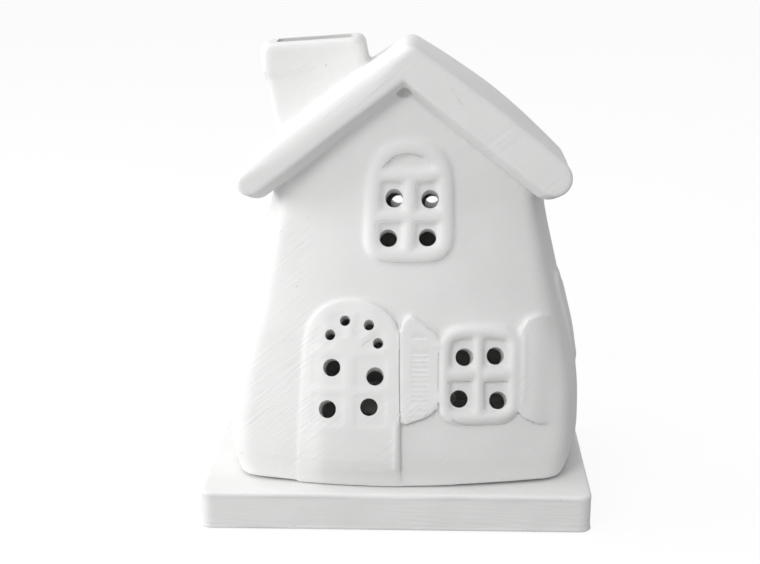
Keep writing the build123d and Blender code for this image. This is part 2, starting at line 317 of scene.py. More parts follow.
def sanding_group():
    """Fine parallel scratches left by sanding: noise drawn out along the strokes."""
    group, given, result = new_group("sanding_marks", ("Vector", "Turn"), ("Marks",))
    place = given.outputs["Vector"]
    turned = node(group, "ShaderNodeMapping", Vector=place, Rotation=given.outputs["Turn"])
    drawn = node(group, "ShaderNodeVectorMath", operation="MULTIPLY")
    group.links.new(turned.outputs[0], drawn.inputs[0])
    drawn.inputs[1].default_value = stroke_stretch
    strokes = node(group, "ShaderNodeTexNoise", Vector=drawn.outputs[0], Scale=1.0, Detail=2.5, Roughness=0.6)
    patches = node(group, "ShaderNodeTexNoise", Vector=place, Scale=45.0, Detail=1.0)
    strength = node(group, "ShaderNodeMapRange", Value=patches.outputs["Fac"], From_Min=0.30, From_Max=0.66)
    centred = math(group, "SUBTRACT", strokes.outputs["Fac"], 0.5)
    group.links.new(math(group, "MULTIPLY", centred, strength.outputs["Result"]), result.inputs["Marks"])
    return group


def pits_group():
    """Sparse pinholes that air bubbles leave in cast clay; the mask dents the surface and, in the bisque,
    darkens its colour as painted shade in the holes.
    """
    group, given, result = new_group("clay_pits", ("Vector",), ("Pits",))
    cells = node(group, "ShaderNodeTexVoronoi", feature="F1", Vector=given.outputs["Vector"], Scale=230.0)
    parts = node(group, "ShaderNodeSeparateColor", Color=cells.outputs["Color"])
    chosen = math(group, "GREATER_THAN", parts.outputs["Red"], 0.5)
    reach = math(group, "MULTIPLY_ADD", parts.outputs["Green"], 0.05, 0.02)
    inside = math(group, "SUBTRACT", 1.0, math(group, "DIVIDE", cells.outputs["Distance"], reach))
    clipped = node(group, "ShaderNodeClamp", Value=inside)
    group.links.new(math(group, "MULTIPLY", clipped.outputs[0], chosen), result.inputs["Pits"])
    return group


def tone_group():
    """Cloudy tone of fired clay: wide soft patches and a fine grain."""
    group, given, result = new_group("clay_tone", ("Vector",), ("Cloud", "Grain"))
    place = given.outputs["Vector"]
    cloud = node(group, "ShaderNodeTexNoise", Vector=place, Scale=38.0, Detail=3.0, Roughness=0.55)
    grain = node(group, "ShaderNodeTexNoise", Vector=place, Scale=2600.0, Detail=3.0, Roughness=0.65)
    group.links.new(cloud.outputs["Fac"], result.inputs["Cloud"])
    group.links.new(grain.outputs["Fac"], result.inputs["Grain"])
    return group


sanding_marks = sanding_group()
clay_pits = pits_group()
clay_tone = tone_group()


def new_finish(name):
    """New material, with its node tree and its shader."""
    material = bpy.data.materials.new(name)
    material.use_nodes = True
    return material, material.node_tree, material.node_tree.nodes["Principled BSDF"]


def dent(tree, shader, height):
    """Lets a height shape the shading of a surface."""
    bump = node(tree, "ShaderNodeBump", Strength=1.0, Distance=1.0, Height=height)
    tree.links.new(bump.outputs["Normal"], shader.inputs["Normal"])


def bisque(name, pale, deep, front_turn, mark_depth, grain_depth):
    """Unglazed white clay: cloudy tone, pinholes with painted shade in them, sanding strokes and a chalky
    sheenless face.
    """
    material, tree, shader = new_finish(name)
    shader.inputs["Specular IOR Level"].default_value = 0.25
    where = tree.nodes.new("ShaderNodeTexCoord")
    place = where.outputs["Object"]
    tone = node(tree, "ShaderNodeGroup", node_tree=clay_tone, Vector=place)
    pits = node(tree, "ShaderNodeGroup", node_tree=clay_pits, Vector=place)
    front = node(tree, "ShaderNodeGroup", node_tree=sanding_marks, Vector=place, Turn=(0, front_turn, 0))
    side = node(tree, "ShaderNodeGroup", node_tree=sanding_marks, Vector=place, Turn=(side_stroke_turn, 0, 0))
    facing = node(tree, "ShaderNodeSeparateXYZ", Vector=where.outputs["Normal"])
    across = math(tree, "ABSOLUTE", facing.outputs["X"])
    sideways = node(tree, "ShaderNodeMapRange", Value=across, From_Min=0.55, From_Max=0.8)
    marks = node(tree, "ShaderNodeMix", data_type="FLOAT", Factor=sideways.outputs["Result"])
    tree.links.new(front.outputs["Marks"], marks.inputs[2])
    tree.links.new(side.outputs["Marks"], marks.inputs[3])
    shade = node(tree, "ShaderNodeMapRange", Value=tone.outputs["Cloud"], From_Min=0.3, From_Max=0.7)
    clay = blend(tree, shade.outputs["Result"], deep, pale)
    # Painted shade: the pinholes are darkened in colour, standing in for the shade inside them.
    clay = blend(tree, pits.outputs["Pits"], clay, (0.42, 0.41, 0.40), "MULTIPLY")
    tree.links.new(clay, shader.inputs["Base Color"])
    chalk = node(tree, "ShaderNodeMapRange", Value=tone.outputs["Grain"], To_Min=0.78, To_Max=0.95)
    tree.links.new(chalk.outputs["Result"], shader.inputs["Roughness"])
    height = math(tree, "MULTIPLY", marks.outputs[0], mark_depth)
    height = math(tree, "MULTIPLY_ADD", tone.outputs["Grain"], grain_depth, height)
    height = math(tree, "MULTIPLY_ADD", pits.outputs["Pits"], -pinhole_depth, height)
    dent(tree, shader, height)
    return material


def coat(piece, *materials):
    """Gives a piece its materials, in place of the empty ones that carving leaves."""
    piece.data.materials.clear()
    for material in materials:
        piece.data.materials.append(material)


slab_clay = bisque("slab_clay", (0.825, 0.825, 0.82), (0.775, 0.775, 0.77), radians(-3), 0.00020, 0.00002)
coat(base_slab, slab_clay)
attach(base_slab, "base")
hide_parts("base_plate")


# Tealight cup: a shallow cup pressed from thin aluminium sheet with a rolled rim.
# It stands loose in the well of the base plate.
def turned(name, profile, sides=96):
    """Form turned about the upright axis; the profile lists radius and height in millimetres."""
    angles = [2 * pi * step / sides for step in range(sides)]
    rings = []
    for radius, height in profile:
        r, z = radius / 1000, height / 1000
        rings.append([(r * cos(a), r * sin(a), z) for a in angles])
    return build_up(name, rings)


tealight_cup = turned("cup", (
    (17.40, 10.80), (18.30, 10.90), (18.75, 11.25), (18.92, 11.90), (18.98, 14.00), (19.02, 24.60),
    (19.06, 25.30), (19.22, 25.75), (19.25, 26.20), (19.20, 26.55), (19.06, 26.78), (18.92, 26.72),
    (18.86, 26.40), (18.86, 25.20), (18.80, 12.00), (18.62, 11.50), (18.20, 11.25), (17.20, 11.20),
))
smooth(tealight_cup, 40)


def surface(
    name, pale, deep, cloud_scale, roughness,
    metallic=0.0, bump_depth=0.00001, grain_scale=1800.0, stretch=(1, 1, 1),
):
    """Plain surface whose colour, gloss and height vary with soft clouds and a drawn-out grain."""
    material, tree, shader = new_finish(name)
    shader.inputs["Metallic"].default_value = metallic
    place = tree.nodes.new("ShaderNodeTexCoord").outputs["Object"]
    drawn = node(tree, "ShaderNodeMapping", Vector=place, Scale=stretch)
    cloud = node(tree, "ShaderNodeTexNoise", Vector=place, Scale=cloud_scale, Detail=3.0)
    grain = node(tree, "ShaderNodeTexNoise", Vector=drawn.outputs[0], Scale=grain_scale, Detail=2.0)
    shade = node(tree, "ShaderNodeMapRange", Value=cloud.outputs["Fac"], From_Min=0.3, From_Max=0.7)
    tree.links.new(blend(tree, shade.outputs["Result"], deep, pale), shader.inputs["Base Color"])
    least, most = roughness
    gloss = node(tree, "ShaderNodeMapRange", Value=grain.outputs["Fac"], To_Min=least, To_Max=most)
    tree.links.new(gloss.outputs["Result"], shader.inputs["Roughness"])
    dent(tree, shader, math(tree, "MULTIPLY", grain.outputs["Fac"], bump_depth))
    return material


coat(tealight_cup, surface(
    "pressed_aluminium", (0.82, 0.83, 0.84), (0.74, 0.75, 0.76), 120.0, (0.22, 0.38),
    metallic=1.0, bump_depth=0.000015, grain_scale=1500.0, stretch=(1, 1, 0.12),
))
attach(tealight_cup, "tealight")
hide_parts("tealight_cup")


# Tealight wax: white paraffin poured into the cup, sunk a little in the middle as it set
# and drawn up round the wick. A hollow in its underside holds the steel tab.
tealight_wax = turned("wax", (
    (18.30, 11.36), (18.66, 11.80), (18.68, 21.90), (18.62, 22.66), (18.20, 22.50), (17.20, 22.34),
    (14.00, 22.24), (8.00, 22.18), (4.00, 22.20), (2.20, 22.32), (1.30, 22.52), (0.95, 22.64),
))
carve(tealight_wax, turned("tab_hollow", (
    (6.12, 11.00), (6.12, 11.66), (1.60, 11.90), (1.42, 12.20), (1.42, 17.40), (0.80, 17.60), (0.80, 24.00),
), 48))
smooth(tealight_wax, 40)
paraffin = surface(
    "paraffin", (0.93, 0.915, 0.87), (0.89, 0.87, 0.82), 160.0, (0.36, 0.52),
    bump_depth=0.00002, grain_scale=700.0,
)
wax_shader = paraffin.node_tree.nodes["Principled BSDF"]
wax_shader.inputs["Subsurface Weight"].default_value = 0.35
wax_shader.inputs["Subsurface Radius"].default_value = (0.004, 0.003, 0.002)
wax_shader.inputs["Subsurface Scale"].default_value = 0.6
coat(tealight_wax, paraffin)
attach(tealight_wax, "tealight")
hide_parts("tealight_wax")


# Wick sustainer: a round tab of tinned steel sheet with a drawn neck, crimped on the wick.
# It lies on the cup's floor under the wax and keeps the wick upright.
wick_sustainer = turned("sustainer", (
    (5.70, 11.20), (6.00, 11.32), (5.95, 11.48), (2.20, 11.52), (1.50, 11.70), (1.30, 12.10),
    (1.28, 16.60), (1.20, 17.10), (0.86, 17.18), (0.82, 16.80), (0.82, 12.00),
), 48)
smooth(wick_sustainer, 40)
coat(wick_sustainer, surface(
    "tinned_steel", (0.70, 0.70, 0.71), (0.60, 0.60, 0.61), 300.0, (0.28, 0.48), metallic=1.0,
))
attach(wick_sustainer, "tealight")
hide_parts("wick_sustainer")


# Wick: a braided cotton cord stiffened with wax, held in the tab's neck.
# Its strands wind round each other, and its free end leans a little.
wick_foot = 0.01222
wick_length = 0.01795
wick_radius = 0.00060
strand_rise = 0.00009
strand_winding = 22
wick_lean = 0.0006


def wick_rings():
    """Rings of three wound strands up the wick."""
    rings = []
    for step in range(61):
        rise = step / 60
        lean = wick_lean * max(0.0, rise - 0.6) ** 2
        taper = 1.0 if step < 59 else 0.75
        ring = []
        for place in range(24):
            angle = 2 * pi * place / 24
            radius = (wick_radius + strand_rise * cos(3 * (angle - rise * strand_winding))) * taper
            ring.append((radius * cos(angle) + lean, radius * sin(angle), wick_foot + wick_length * rise))
        rings.append(ring)
    return rings


tealight_wick = build_up("wick", wick_rings())
smooth(tealight_wick, 60)
coat(tealight_wick, surface(
    "waxed_cotton", (0.88, 0.85, 0.78), (0.76, 0.72, 0.64), 2200.0, (0.60, 0.85),
    bump_depth=0.00004, grain_scale=4200.0,
))
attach(tealight_wick, "tealight")
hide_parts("tealight_wick")


# House: one hollow casting of white clay, poured in a plaster mould and fired once, unglazed.
# Its walls, roof and chimney are one form, and the door, windows and shutters stand on the walls
# as soft relief. It stands loose on the base plate, over the plinth.
rim = 0.0118
ridge_height = 0.1482
house_lean = 0.0020
wall = 0.0045
wall_corner = 0.009
rim_gap = 0.0008
eave_corner = 0.0056
bell = (
    (0.01180, 0.05495, 0.04385),
    (0.02285, 0.05750, 0.04530),
    (0.04495, 0.05605, 0.04205),
    (0.07182, 0.04945, 0.03530),
    (0.10019, 0.04335, 0.02960),
    (0.14820, 0.04025, 0.02700),
)


def bell_at(height):
    """Half width and half depth of the walls at a height, on a smooth curve through the bell's rows."""
    last = len(bell) - 1
    index = max(0, min(last - 1, sum(row[0] <= height for row in bell) - 1))
    low, high = bell[index], bell[index + 1]
    span = high[0] - low[0]
    t = (height - low[0]) / span

    def lean_of(place, column):
        before, after = bell[max(place - 1, 0)], bell[min(place + 1, last)]
        return (after[column] - before[column]) / (after[0] - before[0])

    sizes = []
    for column in (1, 2):
        start, end = lean_of(index, column) * span, lean_of(index + 1, column) * span
        cube, square = t ** 3, t ** 2
        sizes.append(
            (2 * cube - 3 * square + 1) * low[column] + (cube - 2 * square + t) * start
            + (3 * square - 2 * cube) * high[column] + (cube - square) * end
        )
    return sizes


def middle_at(height):
    """Sideways place of the walls' middle at a height."""
    return house_middle + house_lean * (height - rim) / (ridge_height - rim)


def ramp(value, low, high):
    """Soft step from 0 at the low end to 1 at the high end."""
    share = max(0.0, min(1.0, (value - low) / (high - low)))
    return share * share * (3 - 2 * share)


def between(start, end, share):
    """Value at a share of the way from a start to an end."""
    return start + (end - start) * share


def corner_at(height):
    """Corner radius of the walls, which tightens towards the eaves."""
    return between(wall_corner, eave_corner, ramp(height, 0.060, 0.100))


def wall_form(name, growth_at, warp=0.0, rows=44):
    """Solid inside the wall surface moved outward by a growth that depends on the place."""
    heights = [rim + step for step in (0.0, 0.0004, 0.0009, 0.0016)]
    heights += [rim + (ridge_height - rim) * row / rows for row in range(1, rows + 1)]
    full = 0.002
    rings = []
    for z in heights:
        bare = bowed_plan(*bell_at(z), corner_at(z))
        grown = bowed_plan(*bell_at(z), corner_at(z), full)
        ring = []
        for (x, y), (far_x, far_y) in zip(bare, grown):
            share = growth_at(x + middle_at(z), z) / full
            corners = ramp(x, 0.0, 0.040) + 0.6 * ramp(x, -0.012, -0.036)
            lift = warp * corners * max(0.0, 1 - (z - rim) / 0.004)
            ring.append((x + (far_x - x) * share + middle_at(z), y + (far_y - y) * share, z + lift))
        rings.append(ring)
    return build_up(name, rings)


def rubbed_foot(x, z):
    """Draws the foot of the walls in a little where the rim's edge is rubbed round."""
    return -0.0003 * max(0.0, 1 - (z - rim) / 0.0009) ** 2


roof_pitch = radians(37.4)
ridge_middle = house_middle + house_lean
roof_half_span = 0.0508
roof_half_depth = 0.0340
left_thickness = 0.0082
right_thickness = 0.0098


def cut_under_slopes(form, depth):
    """Cuts a form off under both slopes of the roof, square to the slope from its top."""
    apex = (ridge_middle, 0, ridge_height - depth / cos(roof_pitch))
    for side in (-1, 1):
        pick(form)
        bpy.ops.object.mode_set(mode="EDIT")
        bpy.ops.mesh.select_all(action="SELECT")
        outward = (side * sin(roof_pitch), 0, cos(roof_pitch))
        bpy.ops.mesh.bisect(plane_co=apex, plane_no=outward, use_fill=True, clear_outer=True)
        bpy.ops.object.mode_set(mode="OBJECT")


house = wall_form("house", rubbed_foot, rim_gap)
cut_under_slopes(house, right_thickness / 2)


# Roof: two bowed slopes with round eaves, thicker on the right, and soffits that run down to the walls.
# It is cast in one with the walls, and its barge edges are rubbed round by hand.
roof_fall = 0.0030
edge_bow = 0.0008
left_crest_bow = 0.0015
right_crest_bow = 0.0024
edge_ridge_radius = 0.0040
crest_ridge_radius = 0.0048
soffit_run = 0.0055
soffit_drop = 0.0040
left_barge_breadth = 0.0068
left_end_breadth = 0.0030
left_barge_depth = 0.0032
right_barge_round = 0.0019
soffit_round = 0.0007
left_reach = 0.0021
right_reach = -0.0006
left_swell = 0.0002
right_swell = 0.0011
slope_steps = 14
eave_steps = 12
crown_shares = (0.2, 0.4, 0.6, 0.8)


def slope_side(side, thickness, reach, swell, bow, ridge_radius, drop):
    """Outline of one slope from near the ridge over its top and round its eave to the soffit's foot."""
    down = Vector((side * cos(roof_pitch), -sin(roof_pitch)))
    out = Vector((side * sin(roof_pitch), cos(roof_pitch)))
    ridge = Vector((ridge_middle, ridge_height))
    nose = thickness / 2
    length = (roof_half_span + reach - nose + nose * sin(roof_pitch)) / cos(roof_pitch)
    first = ridge_radius * tan(roof_pitch) / length
    top = []
    for step in range(slope_steps + 1):
        t = first + (1 - first) * step / slope_steps
        top.append(ridge + down * (length * t) + out * (4 * bow * t * (1 - t)))
    end = top.pop()
    foot = end - out * (thickness + swell) - Vector((0, drop)) - down * (0.75 * drop)
    round_eave = arc_points(end, end - out * nose + down * nose, foot, eave_steps)
    return [tuple(point) for point in top] + round_eave, foot


def rounding(depth, breadth, reach):
    """Inset of an edge rubbed to an oval of a breadth and reach, at a depth behind the face."""
    return breadth * (1 - sqrt(1 - max(1 - depth / reach, 0.0) ** 2))


def left_rubbed(t):
    """Breadth of the left barge's wide rubbed edge down the slope, less at the ridge and the eave."""
    return between(left_end_breadth, left_barge_breadth, ramp(t, 0.0, 0.3) * (1 - ramp(t, 0.72, 1.0)))


def edge_shift(first, last, shares):
    """Breadth and depth of a rubbed edge as they change from a first pair to a last pair."""
    return [tuple(between(a, b, share) for a, b in zip(first, last)) for share in shares]


def barge_edges(soffit_count):
    """Breadth and depth of the rubbed edge at each point of a roof ring."""
    left_end = (left_end_breadth, left_barge_depth)
    right_end = (right_barge_round, right_barge_round)
    under = (soffit_round, soffit_round)
    eave = [(step + 1) / eave_steps for step in range(eave_steps)]
    right = [right_end] * slope_steps + edge_shift(right_end, under, eave)
    left = [(left_rubbed(step / slope_steps), left_barge_depth) for step in range(slope_steps)]
    left += edge_shift(left_end, under, eave)
    return right + [under] * soffit_count + left[::-1] + edge_shift(left_end, right_end, crown_shares)


def roof_ring(y):
    """Ring of the roof at one depth, drawn in near the gables for the rounded barges."""
    share = min(abs(y) / roof_half_depth, 1.0)
    radius = between(crest_ridge_radius, edge_ridge_radius, share)
    drop = soffit_drop * min(1.0, (roof_half_depth - abs(y)) / soffit_run)
    right_bow = between(right_crest_bow, edge_bow, share)
    left_bow = between(left_crest_bow, edge_bow, share)
    right, right_foot = slope_side(1, right_thickness, right_reach, right_swell, right_bow, radius, drop)
    left, left_foot = slope_side(-1, left_thickness, left_reach, left_swell, left_bow, radius, drop)
    step = (right_thickness - left_thickness) / (2 * sin(roof_pitch))
    depth = (left_thickness + right_thickness) / (2 * cos(roof_pitch))
    under = Vector((ridge_middle - step, ridge_height - depth - drop))
    soffit = [right_foot.lerp(under, share) for share in (0, 0.33, 0.67)]
    soffit += [under.lerp(left_foot, share) for share in (0, 0.33, 0.67, 1)]
    ridge = Vector((ridge_middle, ridge_height))
    start, end = Vector(left[0]), Vector(right[0])
    crown = [start * (1 - t) ** 2 + ridge * (2 * t * (1 - t)) + end * t ** 2 for t in crown_shares]
    points = [Vector(p) for p in right] + soffit + [Vector(p) for p in reversed(left)] + crown
    edges = barge_edges(len(soffit))
    fall = roof_fall * max(y, 0.0) / roof_half_depth
    ring = []
    for index, point in enumerate(points):
        along = points[(index + 1) % len(points)] - points[index - 1]
        inward = Vector((along.y, -along.x)).normalized()
        place = point + inward * rounding(roof_half_depth - abs(y), *edges[index])
        ring.append((place.x, y, place.y - fall))
    return ring


barge_steps = (0.0, 0.00006, 0.0002, 0.0006, 0.0012, 0.0019, 0.0030, 0.0042, soffit_run)
front_stations = [step - roof_half_depth for step in barge_steps] + [-0.0215, -0.0145, -0.0072]
stations = front_stations + [0.0] + [-y for y in reversed(front_stations)]
roof = build_up("roof", [roof_ring(y) for y in stations])


# Chimney: a leaning stack on the left slope with a wider upright cap, cast with the roof.
# It is open right through, so that the warm air of the flame can leave.
chimney_middle = -0.0265
chimney_width = 0.0326
chimney_depth = 0.0200
chimney_top = 0.1463
chimney_foot = 0.1140
cap_foot = 0.1380
chimney_lean = tan(radians(10.5))
cap_tilt = tan(radians(4.2))


def stack_ring(height, growth, radius, tilt, trim=0.0):
    """Ring of the stack, shifted by its lean below the cap, tilted at the cap and trimmed on its right."""
    shift = max(cap_foot - height, 0.0) * chimney_lean
    x, y = chimney_width / 2 + growth, chimney_depth / 2 + growth
    outline = rounded([(x - trim, -y, radius), (x - trim, y, radius), (-x, y, radius), (-x, -y, radius)])
    return [(chimney_middle + shift + u, v, height + u * tilt) for u, v in outline]


chimney = build_up("chimney", [
    stack_ring(chimney_foot, 0.0, 0.003, 0.0),
    stack_ring(cap_foot - 0.0042, 0.0, 0.003, 0.0),
    stack_ring(cap_foot - 0.0005, 0.0007, 0.0036, cap_tilt),
    stack_ring(chimney_top - 0.0022, 0.0008, 0.0036, cap_tilt, 0.0012),
    stack_ring(chimney_top - 0.0008, 0.0003, 0.0032, cap_tilt, 0.0016),
    stack_ring(chimney_top, -0.0009, 0.0024, cap_tilt, 0.0018),
])


# Relief: door, windows and shutters stand on the walls in one with the casting.
# In the mould's first model they were rolled bars and flat sheets of clay, pressed on and sponged soft.
frame_rise = 0.0021
attic_rise = 0.0016
shutter_relief = 0.0017
door_relief = 0.0015
door_pane_depth = 0.00022
side_frame_rise = 0.0006
side_shutter_relief = 0.0012
frame_breadth = 0.0048
tab_breadth = 0.0032
attic_frame_breadth = 0.0056
attic_bar_breadth = 0.0050


def facing(side, u, v, out):
    """Place of a point that lies u along, v up and out from the middle on one side of the house."""
    return {
        "front": (u, -out, v), "back": (-u, out, v), "right": (out, u, v), "left": (-out, -u, v),
    }[side]


def panel(side, outline, near=0.0, far=0.06):
    """Straight block over an outline, from inside the house out through one wall."""
    return build_up("panel", [[facing(side, u, v, out) for u, v in outline] for out in (near, far)])


def through(points, steps=5):
    """Smooth path through a few places."""
    path = []
    ends = [points[0], *points, points[-1]]
    for index in range(len(points) - 1):
        before, start, end, after = (Vector(place) for place in ends[index:index + 4])
        for step in range(steps):
            t = step / steps
            path.append(0.5 * (
                2 * start + (end - before) * t + (2 * before - 5 * start + 4 * end - after) * t ** 2
                + (3 * start - before - 3 * end + after) * t ** 3
            ))
    return path + [Vector(points[-1])]


def bar(side, points, breadth, rise):
    """Rolled bar laid along a path on one wall: an oval section, half sunk in the clay."""
    inward = Vector(facing(side, 0, 0, -1))
    spots = []
    for u, v in through(points):
        _, spot, outward, _ = house.ray_cast(Vector(facing(side, u, v, 0.09)), inward)
        spots.append((spot, outward))
    rings = []
    turns = [pi * step / 8 for step in range(16)]
    for index, (spot, outward) in enumerate(spots):
        along = spots[min(index + 1, len(spots) - 1)][0] - spots[max(index - 1, 0)][0]
        across = along.cross(outward).normalized() * (breadth / 2)
        rings.append([spot + across * cos(turn) + outward * (rise * sin(turn)) for turn in turns])
    return build_up("bar", rings)


def moved(points, x, z):
    """Path moved to a window's middle."""
    return [(x + u, z + v) for u, v in points]


window_loop = (
    (0.0, 0.0133), (-0.0060, 0.0131), (-0.0089, 0.0119), (-0.0104, 0.0095), (-0.0107, 0.0011),
    (-0.0105, -0.0085), (-0.0092, -0.0112), (-0.0060, -0.0122), (0.0, -0.0123), (0.0060, -0.0122),
    (0.0092, -0.0111), (0.0106, -0.0084), (0.0107, 0.0004), (0.0106, 0.0096), (0.0092, 0.0119),
    (0.0060, 0.0129), (0.0, 0.0133), (-0.0030, 0.0133),
)
window_bars = (
    (((-0.0107, 0.0010), (-0.0020, 0.0009)), 0.0052), (((0.0016, 0.0007), (0.0104, 0.0005)), 0.0052),
    (((-0.0003, 0.0125), (-0.0001, 0.0009), (0.0002, -0.0118)), 0.0042),
)
window_tabs = (
    ((-0.0105, 0.0095), (-0.0137, 0.0094)), ((-0.0105, -0.0060), (-0.0135, -0.0060)),
    ((0.0105, 0.0086), (0.0136, 0.0086)), ((0.0105, -0.0046), (0.0133, -0.0046)),
)


def window(side, x, z, rise):
    """Four-pane window frame of rolled bars, with tabs that reach to its shutters."""
    bars = [bar(side, moved(window_loop, x, z), frame_breadth, rise)]
    bars += [bar(side, moved(points, x, z), breadth, 0.92 * rise) for points, breadth in window_bars]
    return bars + [bar(side, moved(points, x, z), tab_breadth, 0.95 * rise) for points in window_tabs]


attic_loop = (
    (0.0033, 0.1161), (-0.0019, 0.1146), (-0.0053, 0.1108), (-0.0068, 0.1047), (-0.0071, 0.0957),
    (-0.0072, 0.0869), (-0.0043, 0.0838), (0.0036, 0.0833), (0.0115, 0.0838), (0.0147, 0.0870),
    (0.0149, 0.0958), (0.0145, 0.1063), (0.0130, 0.1117), (0.0090, 0.1152),
    (0.0033, 0.1161), (0.0000, 0.1156),
)
attic_bars = (
    ((-0.0056, 0.1074), (-0.0005, 0.1073), (0.0043, 0.1071), (0.0097, 0.1073), (0.0134, 0.1081)),
    ((-0.0070, 0.0949), (0.0038, 0.0948), (0.0147, 0.0950)),
    ((0.0042, 0.1075), (0.0041, 0.0959), (0.0035, 0.0845)),
)


def attic_window(side, turn):
    """Arched attic window: a fat rolled frame, two cross bars and an upright; the back's is turned about."""
    loop, *bars = [[(turn * u, v) for u, v in points] for points in (attic_loop, *attic_bars)]
    made = [bar(side, loop, attic_frame_breadth, attic_rise)]
    return made + [bar(side, points, attic_bar_breadth, attic_rise) for points in bars]


left_shutter = (
    (-0.0240, 0.0162, 0.0030), (-0.0212, 0.0193, 0.0024), (-0.0122, 0.0134, 0.0042),
    (-0.0125, -0.0106, 0.0050), (-0.0233, -0.0147, 0.0012),
)
right_shutter = (
    (0.0122, -0.0104, 0.0020), (0.0134, -0.0125, 0.0020), (0.0180, -0.0150, 0.0030),
    (0.0262, -0.0157, 0.0008),
    (0.0262, 0.0166, 0.0060), (0.0188, 0.0182, 0.0030), (0.0150, 0.0172, 0.0030), (0.0126, 0.0138, 0.0030),
)


def shutter_outlines(x, z):
    """Two open shutters beside a window, taller at their outer edges."""
    leaves = (left_shutter, right_shutter)
    return [rounded([(x + u, z + v, radius) for u, v, radius in leaf]) for leaf in leaves]


def raised(side, outline, skin):
    """One raised sheet: the outline's block cut off at the skin that it rises to."""
    block = panel(side, outline)
    carve(block, skin, "INTERSECT", keep=True)
    return block


def shutter_rise(x, z):
    """Rise of the shutters, which fades out towards the corners of the house."""
    return shutter_relief * (1 - ramp(abs(x), 0.0410, 0.0500))


def door_rise(x, z):
    """Rise of the door, which fades out at its foot, along its left edge and at its arch."""
    left_edge = 0.18 + 0.82 * ramp(x, -0.0305, -0.0215)
    arch_edge = 1 - 0.5 * ramp(z, 0.057, 0.070) * (1 - ramp(x, -0.016, -0.006))
    return door_relief * min(1.0, (z - rim) / 0.0070) ** 0.8 * (left_edge * arch_edge)


def side_rise(x, z):
    """Rise of the shutters on the side walls, which fades out towards the foot."""
    return side_shutter_relief * ramp(z, 0.038, 0.060)


shutter_skin = wall_form("shutter_skin", shutter_rise)
side_skin = wall_form("side_skin", side_rise)
door_skin = wall_form("door_skin", door_rise)
door_pane_skin = wall_form("door_pane_skin", lambda x, z: door_rise(x, z) - door_pane_depth)
window_places = (
    ("front", (0.0254, 0.0469)), ("back", (-0.0015, 0.0469)),
    ("right", (0.0045, 0.0562)), ("left", (-0.0045, 0.0562)),
)
relief = []
for side, place in window_places:
    on_side = side in ("left", "right")
    skin = side_skin if on_side else shutter_skin
    relief += window(side, *place, side_frame_rise if on_side else frame_rise)
    relief += [raised(side, leaf, skin) for leaf in shutter_outlines(*place)]
relief += attic_window("front", 1) + attic_window("back", -1)

door_middle = -0.0143
door_outline = [(-0.0306, rim), (0.0019, rim), (0.0014, 0.0349), (0.0011, 0.0504)]
door_outline += [tuple(place) for place in through((
    (0.0009, 0.0600), (-0.0004, 0.0641), (-0.0036, 0.0675), (-0.0083, 0.0696), (-0.0150, 0.0699),
    (-0.0209, 0.0682), (-0.0250, 0.0651), (-0.0275, 0.0606), (-0.0284, 0.0555),
))]
door = raised("front", door_outline, door_skin)
pane_half_width = 0.0050
pane_half_height = 0.0048
pane_corner = 0.0012
fan_foot = 0.0545
fan_near = 0.0048
fan_far = 0.0122
fan_corner = 0.0006
fan_spread = 15


def door_pane(x, z):
    """Outline of one of the door's four panes."""
    u, v = pane_half_width, pane_half_height
    return rounded([(x + a, z + b, pane_corner) for a, b in ((-u, -v), (u, -v), (u, v), (-u, v))])


def fan_pane(angle):
    """Outline of one pane of the fan over them: a wedge about the fan's foot."""
    corners = []
    for radius, turn in ((fan_near, 1), (fan_near, -1), (fan_far, -1), (fan_far, 1)):
        way = radians(angle + turn * fan_spread)
        corners.append((door_middle + radius * cos(way), fan_foot + radius * sin(way), fan_corner))
    return rounded(corners)


door_hollows = [door_pane(door_middle + u, v) for v in (0.0369, 0.0484) for u in (-0.0066, 0.0066)]
door_hollows += [fan_pane(angle) for angle in (22, 64, 112, 158)]
for hollow in door_hollows:
    tool = panel("front", hollow)
    carve(tool, door_pane_skin, keep=True)
    carve(door, tool)
relief.append(door)
relief.append(bar("front", ((0.0391, 0.0590), (0.0392, 0.0500), (0.0388, 0.0385)), 0.0030, 0.0022))
relief.append(bar("front", ((0.0002, 0.0325), (0.0001, 0.0255), (0.0, 0.0186)), 0.0018, 0.0019))
for skin in (shutter_skin, side_skin, door_skin, door_pane_skin):
    bpy.data.objects.remove(skin, do_unlink=True)

# The separate forms become one casting: filled together, softened as by slip and sponge, left a little
# uneven, with a thumb's dent under the ridge.
house_voxel = 0.00045
thumb_radius = 0.0023
thumb_x, thumb_y, thumb_z = 0.0022, -0.0287, 0.1328
mould_wave = 0.0005
mould_wave_breadth = 0.0220
house = join([house, roof, chimney, *relief])
finish_with(house, "REMESH", mode="VOXEL", voxel_size=house_voxel)
bpy.ops.object.select_all(action="DESELECT")
bpy.ops.mesh.primitive_uv_sphere_add(
    segments=32, ring_count=16, radius=thumb_radius, location=(thumb_x, thumb_y, thumb_z),
)
thumb = bpy.context.object
thumb.scale = (1.1, 1.3, 0.9)
bpy.ops.object.transform_apply(location=True, scale=True)
carve(house, thumb)
finish_with(house, "SMOOTH", factor=0.5, iterations=6)
sponged = house.vertex_groups.new(name="sponged")
on_walls = []
for vertex in house.data.vertices:
    x, y, z = vertex.co
    slope = ridge_height - abs(x - ridge_middle) * tan(roof_pitch)
    in_dent = hypot(x - thumb_x, z - thumb_z) < 0.0042 and y < -0.024
    if in_dent or rim + 0.0012 < z < slope - 0.0165 and abs(x) < 0.0585:
        on_walls.append(vertex.index)
sponged.add(on_walls, 1.0, "REPLACE")
finish_with(house, "SMOOTH", factor=0.5, iterations=8, vertex_group="sponged")
finish_with(
    house, "DISPLACE", texture=waves("mould_waves", mould_wave_breadth), texture_coords="LOCAL",
    strength=mould_wave, mid_level=1.0,
)
finish_with(house, "DECIMATE", ratio=0.225)
house_clay = bisque("house_clay", (0.825, 0.825, 0.82), (0.78, 0.78, 0.775), radians(41), 0.00017, 0.00002)
